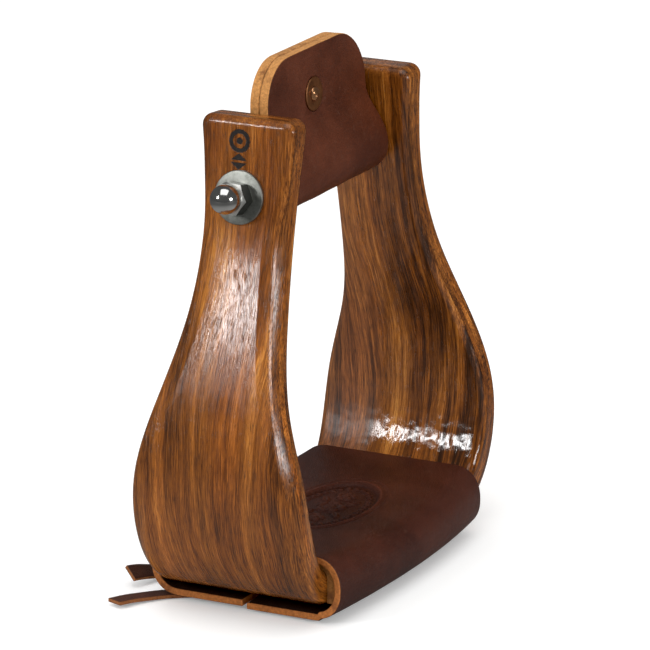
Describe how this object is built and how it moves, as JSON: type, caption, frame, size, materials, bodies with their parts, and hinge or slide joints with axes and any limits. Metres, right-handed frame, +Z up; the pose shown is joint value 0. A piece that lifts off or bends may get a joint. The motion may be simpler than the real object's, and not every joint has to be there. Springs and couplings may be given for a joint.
{
  "type": "western stirrup",
  "caption": "Bell shaped Western stirrup: a bent laminated wood band with a leather covered neck bolt, a riveted leather tab and a laced leather tread cover.",
  "frame": {"origin": "on the ground under the middle of the tread, where the lace bars of the tread cover stand", "axes": "+X from the arm with the cap nut to the arm with the bolt head, along the neck bolt; +Y from the front (the riveted face of the tab) to the back; +Z up from the tread to the neck"},
  "size_m": [0.1862, 0.1093, 0.2262],
  "materials": {
    "veneer_wood": "dark stained walnut veneers under a gloss varnish",
    "cover_leather": "oiled dark red-brown leather with a satin grain side and natural tan cut edges",
    "lace_leather": "dark brown thong with tan cut edges",
    "pad_leather": "natural undyed filler leather",
    "stainless": "bright stainless, lightly turned",
    "polished_stainless": "polished stainless",
    "copper": "copper, lightly tarnished"
  },
  "bodies": {
    "frame": {"outer_veneer": "veneer_wood", "second_veneer": "veneer_wood", "core_veneer": "veneer_wood", "fourth_veneer": "veneer_wood", "inner_veneer": "veneer_wood", "neck_bolt": "stainless", "cap_nut": "polished_stainless", "nut_washer": "stainless", "head_washer": "stainless", "tread_cover": "cover_leather", "tread_pad": "pad_leather", "tread_lace": "lace_leather"},
    "sleeve": {"neck_sleeve": "stainless"},
    "cover": {"bolt_cover": "cover_leather", "cover_rivet": "copper", "rivet_burr": "copper"}
  },
  "joints": [
    {"name": "sleeve_roll", "type": "hinge", "parent": "frame", "child": "sleeve", "pos_m": [0, 0.0012, 0.1748], "axis": [1, 0, 0], "continuous": true},
    {"name": "cover_swing", "type": "hinge", "parent": "frame", "child": "cover", "pos_m": [0, 0.0012, 0.1748], "axis": [1, 0, 0], "continuous": true}
  ]
}
